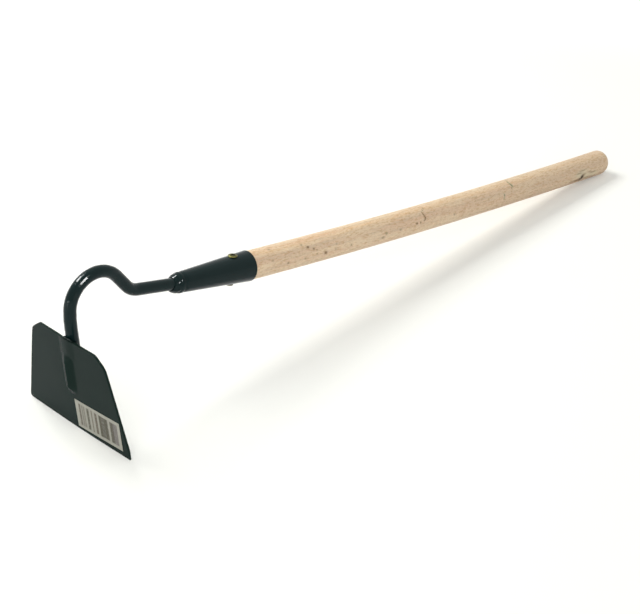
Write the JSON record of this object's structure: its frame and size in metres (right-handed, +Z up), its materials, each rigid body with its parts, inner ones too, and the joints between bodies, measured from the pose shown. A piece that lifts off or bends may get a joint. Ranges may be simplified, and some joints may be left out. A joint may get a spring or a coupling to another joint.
{
  "type": "garden hoe",
  "caption": "Draw hoe: a pressed steel blade hangs from a swan-neck bar, which a rolled socket joins to a short bowed wooden handle",
  "frame": {"origin": "on the ground below the middle of the hoe's bounding box, where it stands on the blade's edge and on the butt of the handle", "axes": "+X along the handle from the blade to the butt, +Y along the cutting edge, +Z up"},
  "size_m": [0.8483, 0.1587, 0.1655],
  "materials": {
    "green_black_paint": "gloss",
    "blade_paint": "satin",
    "beech": "sanded",
    "yellow_zinc": "yellow zinc plated",
    "label_paper": "printed paper"
  },
  "bodies": {
    "root": {"blade": "blade_paint", "gooseneck": "green_black_paint", "blade_weld_top": "green_black_paint", "blade_weld_back": "green_black_paint", "socket": "green_black_paint", "socket_weld": "green_black_paint", "handle": "beech", "screw_upper": "yellow_zinc", "screw_lower": "yellow_zinc", "price_label": "label_paper"}
  },
  "joints": []
}
